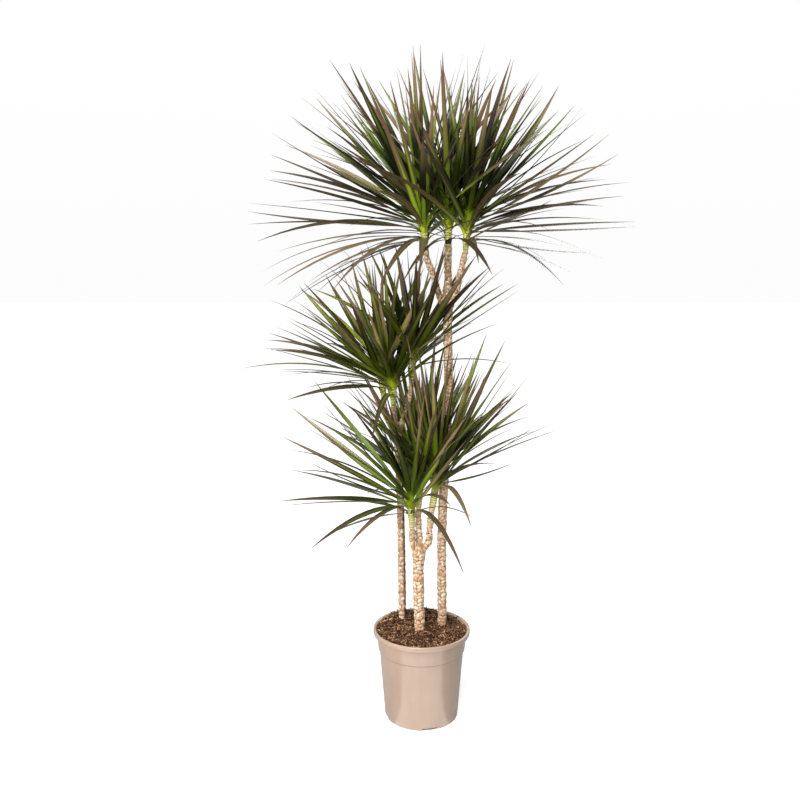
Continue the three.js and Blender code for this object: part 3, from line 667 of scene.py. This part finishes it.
# Where the neck joins its branch, the collar and the bud, in mm, and the branch's radius there.
heads = {
    "head_tall_left": ((5, 20, 1142.4), (4, 19, 1154), (-1, 15, 1232), 6.4),
    "head_tall_middle": ((61, 60, 1144.4), (61, 60, 1156), (62, 62, 1236), 8),
    "head_tall_right": ((99, 25, 1135.4), (100, 25, 1147), (105, 21, 1224), 6.4),
    "head_left_outer": ((-94, 75, 784.4), (-94, 75, 796), (-100, 80, 852), 5.9),
    "head_left_front": ((-69, 42, 769.4), (-69, 42, 781), (-72, 38, 836), 6),
    "head_left_inner": ((-24, 65, 834.4), (-24, 65, 846), (-21, 67, 900), 6),
    "head_front_left": ((-24, -3, 473.4), (-25, -7, 508), (-29, -13, 560), 6.6),
    "head_front_back": ((-8, 24, 514.4), (-6, 28, 546), (-3, 35, 596), 6.6),
    "head_front_right": ((21, 5, 500.4), (29, 6, 552), (38, 4, 606), 6.6),
}
collar_radius, bud_radius, bud_length = 8.6, 6.8, 12
# The scar rings of the neck: how far apart, and how deep. The wood turns green over this length.
ring_pitch, ring_depth, greening_length = 6.2, 1.5, 30
path_step, cap_rings, tip_sides = 0.9, 10, 22

green_stem = Finish("green stem", Roughness=0.55, Specular_IOR_Level=0.4)
ring, rise = green_stem.told("ring"), green_stem.told("rise")
stem_mottle = green_stem.grain(160, 4)
fresh = stem_mottle.ease(0.3, 0.7).blend(paint(150, 168, 42), paint(200, 206, 92))
old = stem_mottle.ease(0.3, 0.7).blend(paint(190, 162, 104), paint(240, 220, 168))
crease = rise.ease(0.0, 0.8).blend(paint(104, 68, 34), paint(80, 84, 24))
stem_skin = layered(old,
                    (rise.ease(0.0, 1.0), fresh),
                    (ring.ease(0.4, 1.0) * 0.8, paint(246, 236, 196)),
                    ((1 - ring.ease(0.0, 0.3)) * 0.75, crease))
green_stem.wear(Base_Color=stem_skin)
green_stem.bump(stem_mottle, 0.0004, 0.5)

for name, (joint, collar, bud, stalk) in heads.items():
    path = smooth_line([joint, collar, bud], path_step)
    over_bud = np.linspace(0.08, 1, cap_rings)
    top = path[-1] + unit(path[-1] - path[-2]) * over_bud[:, None] * bud_length * mm
    share = np.linspace(0, 1, len(path))
    swell = np.interp(share, (0, 0.35, 0.6, 1), (stalk, collar_radius, collar_radius, bud_radius))
    run = share * len(path) * path_step
    saw = run / ring_pitch % 1
    close = bud_radius * np.sqrt(1 - np.linspace(0.08, 0.99, cap_rings) ** 2)
    radii = np.r_[swell + ring_depth * (saw - 0.5), close]
    tip = piece(name + "_stem_tip", *tube(np.vstack([path, top]), radii * mm, tip_sides), green_stem)
    settled(tip, crease=70)
    # 0 on the old wood and over 1 on the green stem. The tube's last two points are its end centres.
    greening = (run - math.dist(joint, collar)) / greening_length + 1.1
    rings_told = np.r_[np.repeat(np.r_[saw, np.full(cap_rings, 0.4)], tip_sides), 0.4, 0.4]
    rise_told = np.r_[np.repeat(np.r_[greening, np.full(cap_rings, 2)], tip_sides), greening[0], 2]
    tell(tip, ring=rings_told, rise=rise_told)
    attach(tip, "root")


# -------- the leaves
# Stiff, narrow blades with a long drawn-out point, folded along the midrib. A blade clasps the stem
# with a lime base; it is green along the middle, and its margins and outer half are bronze-purple.

# Where the stations of a solid blade lie, as shares of its length, the outer one first. A bent blade
# has three and its outer one lies further out, so between the outer two it narrows below this ratio.
straight_shares, bent_shares, bent_ratio = (0.7, 0.34), (0.78, 0.53, 0.28), 0.647
# A blade's tip has three edges, none shorter than this, and no station is wider than this, in mm.
least_tip_edge, most_width = 45, 20


def fullness(share):
    """Half the width of a solid blade along its length, as a share of its full width."""
    return 0.5 * np.minimum(1, 0.36 + 2.4 * share) * (1 - share**2.6) ** 0.9


def traced(node):
    """The blades of a head's solid, walked from tip to root: bend points, width, way to the keel."""
    shape = bmesh.new()
    shape.from_mesh(frame["nodes"][node].data)
    bmesh.ops.remove_doubles(shape, verts=shape.verts, dist=1e-6)
    blades = []
    for tip in shape.verts:
        ring = [edge.other_vert(tip) for edge in tip.link_edges]
        if len(ring) != 3 or min(edge.calc_length() for edge in tip.link_edges) < least_tip_edge * mm:
            continue
        behind, stations = [tip], []
        while len(ring) == 3 and max((a.co - b.co).length for a in ring for b in ring) < most_width * mm:
            keel = min(ring, key=lambda v: max((v.co - w.co).length for w in ring))
            first, second = [v.co for v in ring if v is not keel]
            middle = (first + second) / 2
            stations.append((np.array(middle), (first - second).length / 2, np.array(keel.co - middle)))
            found = {edge.other_vert(v) for v in ring for edge in v.link_edges}
            behind, ring = ring, list(found - set(ring) - set(behind))
        if len(stations) < 2:
            continue
        bent = stations[0][1] / stations[1][1] < bent_ratio
        shares = bent_shares if bent else straight_shares
        if len(stations) < len(shares):
            continue
        s = np.array([1.0, *shares])
        weights = np.stack([(1 - s) ** 2, 2 * s * (1 - s), s**2], axis=1)
        places = np.array([np.array(tip.co)] + [station[0] for station in stations[:len(shares)]])
        bends = np.linalg.lstsq(weights, places, rcond=None)[0]
        width = stations[0][1] / fullness(shares[0])
        blades.append({"bends": bends, "width": width, "under": unit(stations[0][2]), "share": shares[0]})
    shape.free()
    return blades


def line_of(bends, s):
    """Points on the centre line of a blade, at these shares of its length."""
    s = s[:, None]
    return (1 - s) ** 2 * bends[0] + 2 * s * (1 - s) * bends[1] + s**2 * bends[2]


def course_of(bends, s):
    """The way that the centre line runs there."""
    s = s[:, None]
    return unit((1 - s) * (bends[1] - bends[0]) + s * (bends[2] - bends[1]))


def level_across(bends, along):
    """The level direction across a blade, kept to one side where the blade stands upright."""
    chord = bends[2] - bends[0]
    level = unit(np.array([-chord[1], chord[0], 0.0]))
    return unit(level - along * (along @ level)[:, None])


def roll_of(blade):
    """How far a solid blade is turned about its own line, from level."""
    along = course_of(blade["bends"], np.array([blade["share"]]))
    across = np.cross(along, blade["under"])[0]
    level = level_across(blade["bends"], along)[0]
    return math.atan2(np.cross(level, across) @ along[0], level @ across)


def crowd_of(blade, s):
    """Points along a blade with the room that each needs, for keeping other blades off it."""
    return np.c_[line_of(blade["bends"], s), 0.42 * blade["width"] * fullness(s) + 0.4 * mm]


def way(azimuth, elevation):
    return np.array([math.cos(elevation) * math.cos(azimuth), math.cos(elevation) * math.sin(azimuth),
                     math.sin(elevation)])


# The young leaves of each head: their lean to the right and the rear, their spread in degrees, how
# many there are, the longest in mm, and the share that hangs.
young_of = {
    "head_tall_left": ((-0.34, 0.05), 66, 46, 425, 0.14),
    "head_tall_middle": ((-0.1, 0.1), 54, 30, 420, 0.06),
    "head_tall_right": ((0.08, 0.05), 44, 14, 385, 0.12),
    "head_left_outer": ((-0.26, 0.12), 72, 6, 330, 0.05),
    "head_left_front": ((-0.3, -0.2), 66, 8, 330, 0.05),
    "head_left_inner": ((-0.04, 0.1), 50, 10, 320, 0),
    "head_front_left": ((-0.28, -0.1), 62, 16, 370, 0.05),
    "head_front_back": ((-0.04, 0.2), 46, 24, 400, 0),
    "head_front_right": ((0.1, -0.05), 40, 24, 400, 0),
}
tries_for_each = 14


def young_leaves(name, seed, crowd):
    """More leaves for a head, in the gaps between those that are there, and clear of them all."""
    _, collar, bud, _ = heads[name]
    lean, spread, wanted, longest, hanging_share = young_of[name]
    draw = np.random.default_rng(seed)
    axis = unit(np.array([*lean, 1.0]))
    left = unit(np.cross(axis, (0, 1, 0)))
    rear = np.cross(left, axis)
    test_shares = np.linspace(0.16, 0.98, 16)
    start, stop = np.array(collar) * mm, np.array(bud) * mm
    leaves = []
    for _ in range(wanted * tries_for_each):
        if len(leaves) == wanted:
            break
        age = draw.random() ** 0.6
        off = math.acos(np.interp(age, (0, 1), (math.cos(math.radians(spread * 0.9)), 0.996)))
        hanging = draw.random() < hanging_share
        if hanging:
            age, off = 0.1 * age, math.radians(draw.uniform(80, 102))
        turn = 2 * math.pi * draw.random()
        # The front of the crown is more open.
        if name.startswith("head_tall") and math.sin(turn) < -0.3 and draw.random() < 0.45:
            continue
        out = math.sin(off) * (math.cos(turn) * left + math.sin(turn) * rear)
        chord = unit(math.cos(off) * axis + out)
        reach = longest * mm * draw.uniform(0.7, 1.0) * np.interp(age, (0, 1), (1, 0.92))
        azimuth, elevation = math.atan2(chord[1], chord[0]), math.asin(chord[2])
        fall = math.radians(draw.uniform(-8, 30)) * math.cos(elevation) + 0.5 * hanging * draw.random()
        root = start + (stop - start) * np.interp(age, (0, 1), (0.05, 1)) + way(azimuth, 0) * 3 * mm
        middle = root + way(azimuth, elevation + fall / 2) * reach / 2
        bends = np.array([root, middle, middle + way(azimuth, elevation - fall / 2) * reach / 2])
        if bends[2][2] > solid_box[1][2] - 5 * mm:
            continue
        roll = draw.uniform(-0.9, 0.9)
        leaf = {"bends": bends, "width": draw.uniform(10, 15) * mm, "roll": roll}
        at = crowd_of(leaf, test_shares)
        apart = np.linalg.norm(at[:, None, :3] - crowd[None, :, :3], axis=2)
        if (apart - at[:, None, 3] - crowd[None, :, 3]).min() > 0:
            leaves.append(leaf)
            crowd = np.vstack([crowd, at])
    return leaves, crowd


blades = {name: traced(name) for name in heads}
shares_tested = np.linspace(0.12, 1, 20)
crowd = np.zeros((0, 4))
for blade in [blade for head in blades.values() for blade in head]:
    blade["roll"] = roll_of(blade)
    crowd = np.vstack([crowd, crowd_of(blade, shares_tested)])
for seed, name in enumerate(heads):
    more, crowd = young_leaves(name, 40 + seed, crowd)
    blades[name] += more

# A leaf starts as a sheath that clasps the stem, below where the blade itself leaves it. It has two
# points: how far down each is, and how far off the stem's surface.
sheath_drops, sheath_gaps, sheath_half = np.array([10.0, 3.5]), np.array([-0.9, 0.5]), 5.6
blade_shares = np.array([0.045, 0.085, 0.14, 0.21, 0.29, 0.38, 0.47, 0.57, 0.67, 0.77, 0.86, 0.94, 1])


def outline(share, width):
    """Half the width of a drawn blade: a waist above the sheath, then full, then a long fine point."""
    waist = 0.54 * width * (0.42 + 0.58 * soft_step(share, -0.12, 0.42)) * (1 - share**2.7) ** 0.95
    sheath = 0.9 * sheath_half * mm * np.maximum(0, 1 - share / 0.12) ** 1.5
    return np.maximum(waist, sheath)


to_front_light = unit(np.array([-0.2, -1.0, 0.9]))


def midribs(name):
    """The midribs of a head's leaves as one mesh of lines, with what each point tells the sweep."""
    _, collar, bud, _ = heads[name]
    start, stop = np.array(collar) * mm, np.array(bud) * mm
    axis = unit(stop - start)
    points, edges, across_told = [], [], []
    told = {}
    for leaf in blades[name]:
        bends, s = leaf["bends"], np.r_[0, 0, blade_shares]
        age = np.clip((bends[0] - start) @ axis / np.linalg.norm(stop - start), 0, 1)
        centre = start + (stop - start) * age
        out = bends[2] - bends[0]
        out = unit(out - axis * (out @ axis))
        hold = np.interp(age, (0, 1), (collar_radius, bud_radius)) + sheath_gaps
        sheath = centre + out * hold[:, None] * mm - axis * sheath_drops[:, None] * mm
        at = np.vstack([sheath, line_of(bends, blade_shares)])
        along = np.vstack([axis, unit(axis * 2 + out), course_of(bends, blade_shares)])
        level = level_across(bends, along)
        up = np.cross(along, level)
        tip = np.round(bends[2] / mm)
        rise = unit(bends[2] - bends[0])[2]
        upright = max(rise, 0) ** 2
        turn = (drawn(*tip, 3) - 0.5) * (0.5 + 2.4 * upright)
        # A blade that lies flat twists its upper side some way towards the light from the front.
        to_light = np.arctan2(-(level @ to_front_light), np.maximum(up @ to_front_light, 0.1))
        turn = turn + 0.3 * (1 - upright) * to_light
        roll = leaf["roll"] * (0.4 * (1 + min(rise, 0)) ** 2 + 0.6 * upright) * soft_step(s, 0, 0.3)
        roll = (roll + turn * soft_step(s, 0.05, 0.5))[:, None]
        half = outline(s, leaf["width"])
        half[-1] = 0.25 * mm
        first = len(points) * len(s)
        edges += [(first + k, first + k + 1) for k in range(len(s) - 1)]
        points.append(at)
        across_told.append(np.cos(roll) * level + np.sin(roll) * up)
        of_leaf = {"half": half, "along": s, "tint": drawn(*tip), "age": age, "tone": drawn(*tip[::-1]),
                   "upright": upright}
        for label, value in of_leaf.items():
            told.setdefault(label, []).append(np.broadcast_to(value, len(s)))
    made = piece(name + "_leaves", np.vstack(points), [], leaf_skin, edges)
    tell(made, ripe=name.startswith("head_left"), low=not name.startswith("head_tall"),
         **{label: np.concatenate(values) for label, values in told.items()})
    layer = made.data.attributes.new("across", "FLOAT_VECTOR", "POINT")
    layer.data.foreach_set("vector", np.vstack(across_told).astype(np.float32).ravel())
    return made


def blade_sweep():
    """Sweeps a folded blade section along every midrib, as wide as the midrib's points say."""
    tree, size = inlets("blade sweep", fold=0.28, thickness=0.085)
    section = tree.node("GeometryNodeCurvePrimitiveCircle", sockets={"Resolution": 8, "Radius": 1.0})
    spot = tree.node("GeometryNodeInputPosition")
    across, lift = spot.part("X"), spot.part("Y")
    for label, value in (("side", across), ("upper", lift * 0.5 + 0.5)):
        section = tree.node("GeometryNodeStoreNamedAttribute", sockets={
            "Geometry": section, "Name": label, "Value": value})
    folded = across.size() * size["fold"] + lift * size["thickness"] * 0.5
    folded = tree.node("ShaderNodeCombineXYZ", sockets={"X": across, "Y": folded})
    section = tree.node("GeometryNodeSetPosition", sockets={"Geometry": section, "Position": folded})
    ribs = tree.node("GeometryNodeMeshToCurve", sockets={"Mesh": size["Geometry"]})
    level = tree.node("GeometryNodeInputNamedAttribute", {"data_type": "FLOAT_VECTOR"}, {"Name": "across"})
    ribs = tree.node("GeometryNodeSetCurveNormal", {"mode": "FREE"}, {"Curve": ribs, "Normal": level})
    half = tree.node("GeometryNodeInputNamedAttribute", sockets={"Name": "half"})
    swept = tree.node("GeometryNodeCurveToMesh", sockets={
        "Curve": ribs, "Profile Curve": section, "Scale": half, "Fill Caps": True})
    real = tree.node("GeometryNodeRealizeInstances", sockets={0: swept})
    return outlet(tree, real, leaf_skin)


# Across a blade, side runs from -1 to 1, and upper is 1 on the upper side and 0 on the under side.
# Ripe marks the heads of the left cane, and low all the heads but those of the tall cane.
leaf_skin = Finish("dragon tree leaf", Specular_IOR_Level=0.12, Coat_Roughness=0.34)
along, age, tint, tone, upright, upper, low_head = (
    leaf_skin.told(label) for label in ("along", "age", "tint", "tone", "upright", "upper", "low"))
side, top_side = leaf_skin.told("side").size(), upper.ease(0.49, 0.51)
vein_place = leaf_skin.node("ShaderNodeCombineXYZ", sockets={
    "X": leaf_skin.told("side") * 9 + tint * 40, "Y": along * 2.5, "Z": tone * 30})
vein = leaf_skin.grain(1.6, 4, vein_place)
drift = leaf_skin.grain(1.0, 3, vein_place)
# How far out the green reaches, as a share of the half width: it narrows towards the tip.
green_top = 0.7 - along * 1.2 - tint * 0.5 + age.ease(0.0, 0.4) * 0.75
green_under = 0.7 - along * 1.8 - tint * 0.6 + age.ease(0.0, 0.5) * 0.85
reach = top_side * green_top + (1 - top_side) * green_under + (drift - 0.5) * 0.4
reach = reach - (1 - upright.ease(0.0, 0.4)) * (0.75 - low_head * 0.3) + low_head * 0.08
lime, bright, deep = paint(200, 214, 26), paint(148, 186, 14), paint(64, 90, 12)
shade = (along + (tone - 0.5) * 0.9).ease(0.25, 0.85) * (0.3 + top_side * 0.7) * (1 - low_head * 0.3)
green = layered(lime,
                ((along + tone * 0.06).ease(0.0, 0.13), bright),
                (shade, deep),
                (leaf_skin.told("ripe") * 0.2 + low_head * 0.18, paint(140, 134, 22)))
dusky = tint.blend(paint(44, 32, 22), paint(118, 90, 70))
bronze = layered(paint(60, 40, 26),
                 (tone, paint(160, 134, 96)),
                 (along.ease(0.5, 1.0) * 0.6, paint(104, 72, 62)),
                 (top_side * 0.7, dusky))
margin = side.ease(0.74, 0.92) * 0.75 * along.ease(0.03, 0.2)
midrib = (1 - side.ease(0.04, 0.17)) * (1 - along.ease(0.3, 0.9)) * 0.55
# Some blades are painted paler on top near the base, a painted highlight. Some have darkened, and the
# drooping ones are duller.
painted_sheen = tone.ease(0.8, 0.95) * top_side * (1 - along.ease(0.45, 0.75)) * upright.ease(0.2, 0.5)
drooping = (1 - upright.ease(0.0, 0.35)) * along.ease(0.05, 0.3) * (1 - tint.ease(0.55, 0.95))
# Painted shade: the youngest leaves stand in the heart of the head, and low down they are painted almost
# black, as the crown's shade there.
painted_heart_shade = (age + (tone - 0.5) * 0.3).ease(0.25, 0.65) * along.ease(0.03, 0.12) * (1 - along.ease(0.45, 0.85))
painted_heart_shade = painted_heart_shade * (1 - tone.ease(0.78, 0.88) * 0.85) * (1 - low_head * 0.2)
# Painted shade: the side that an upright blade turns to the heart is painted dark too, as shade, but for a
# few that catch the light.
inner = top_side * upright.ease(0.2, 0.7) * (1 - along.ease(0.35, 0.85)) * along.ease(0.03, 0.1)
inner = inner * (1 - tone.ease(0.45, 0.65)) * (1 - low_head * 0.25)
blade_colour = layered(green,
                       ((side - reach).ease(-0.1, 0.22), bronze),
                       (margin, paint(58, 26, 30)),
                       (vein.ease(0.35, 0.7) * 0.15, paint(140, 146, 80)),
                       (midrib, paint(178, 194, 60)),
                       (painted_sheen * 0.6, paint(186, 214, 132)),
                       ((1 - tone.ease(0.1, 0.3)) * 0.5, paint(20, 18, 9)),
                       (drooping * 0.6, paint(34, 27, 20)),
                       # Painted shade: the heart of the head, and the inner sides of upright blades.
                       (painted_heart_shade * 0.94, paint(6, 9, 4)),
                       (inner * 0.92, paint(10, 14, 5)))
sheen = (0.3 + top_side * tone * 0.7) * (1 - painted_heart_shade * 0.9) * (1 - inner * 0.8)
leaf_skin.wear(Base_Color=blade_colour, Roughness=0.52 + vein * 0.04, Coat_Weight=sheen)
leaf_skin.bump(vein, 0.0004, 0.05)

sweep = blade_sweep()
for name in heads:
    leaves = midribs(name)
    grown_by(leaves, sweep)
    leaves.data.set_sharp_from_angle(angle=math.radians(60))
    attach(leaves, "root")
    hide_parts(name)


# -------- the studio
# A plain pale floor, a white room and four soft lights. The camera stands where the photograph was
# taken from: a little to the left of the pot, 1.9 m away and 1.1 m up, tipped 8.7 degrees down.


def rays(tree):
    """Two numbers: 1 for what the camera sees directly, and 1 for what it sees mirrored."""
    return [tree.node("ShaderNodeLightPath", output=kind) for kind in ("Is Camera Ray", "Is Glossy Ray")]


floor_finish = Finish("pale floor", Roughness=0.9, Specular_IOR_Level=0.1, Base_Color=(0.5, 0.5, 0.5, 1),
                      Emission_Strength=1)
floor_place = floor_finish.here()
from_pot = floor_finish.node("ShaderNodeVectorMath", {"operation": "LENGTH"}, {0: floor_place}, 1)
# The floor is seen as a pale glow that is dark under the pot. A lit sheet on it, in front of the pot,
# shows only where it is mirrored: in the middle of the pot's wall.
paleness = (from_pot.ease(0.5, 3.0) * 0.2 + 0.72) * from_pot.ease(0.086, 0.0872)
outwards = floor_finish.node("ShaderNodeVectorMath", {"operation": "NORMALIZE"}, {0: floor_place})
sheet = (0 - outwards.part("Y")).ease(0.6, 0.69) * (1 - from_pot.ease(0.5, 0.6))
sheet_light = 1.6
seen, mirrored = rays(floor_finish)
paled = seen * paleness * (1 / sheet_light) + sheet * mirrored
floor_finish.wear(Emission_Color=paled.blend((0, 0, 0, 1), (sheet_light, sheet_light, sheet_light, 1)))
far = 30
floor = piece("floor", [(-far, -far, 0), (far, -far, 0), (far, far, 0), (-far, far, 0)], [[0, 1, 2, 3]],
              floor_finish)

# The room is white. Seen past the plant it pales from the floor's own tone at the horizon upwards.
room_light, mirror_light, horizon_tone = 0.24, 0.3, 0.98
sky = bpy.data.worlds.new("white room")
bpy.context.scene.world = sky
sky.use_nodes = True
white_room = Tree(sky.node_tree)
glow = sky.node_tree.nodes["Background"]
glow.inputs["Color"].default_value = (1, 1, 1, 1)
seen, mirrored = rays(white_room)
ray = white_room.node("ShaderNodeTexCoord", output="Generated")
backdrop = ray.part("Z").ease(0.0, 0.25) * (1 - horizon_tone) + horizon_tone
behind = ray.part("Y").ease(-0.1, 0.7)
strength = seen * backdrop + mirrored * (behind * 0.5 + mirror_light) + (1 - seen - mirrored) * room_light
sky.node_tree.links.new(strength.socket, glow.inputs["Strength"])


def soft_light(name, place, aim, size, power):
    lamp = bpy.data.lights.new(name, "AREA")
    lamp.shape, lamp.size, lamp.energy = "SQUARE", size, power
    made = bpy.data.objects.new(name, lamp)
    made.location = place
    made.rotation_euler = (Vector(aim) - Vector(place)).to_track_quat("-Z", "Y").to_euler()
    bpy.context.scene.collection.objects.link(made)


soft_light("key light", (-0.9, -3.0, 1.9), (0, 0, 0.8), 1.3, 100)
soft_light("top light", (-0.3, -1.3, 3.4), (0, 0, 1.0), 1.3, 78)
soft_light("side light", (-2.6, -1.3, 1.9), (0, 0, 0.9), 0.7, 34)
soft_light("back light", (1.6, 2.2, 2.4), (0, 0, 1.0), 1.2, 36)

# The focal length in pixels of the photograph, and the photograph's width in pixels.
focal_px, photo_px = 821.2, 800
eye_place, eye_dip = (-0.053, -1.912, 1.080), 8.7
eye = bpy.data.cameras.new("camera")
eye.sensor_width, eye.lens = 36, 36 * focal_px / photo_px
camera = bpy.data.objects.new("camera", eye)
camera.location = eye_place
camera.rotation_euler = (math.radians(90 - eye_dip), 0, 0)
bpy.context.scene.collection.objects.link(camera)
bpy.context.scene.camera = camera
bpy.context.scene.view_settings.view_transform = "Standard"
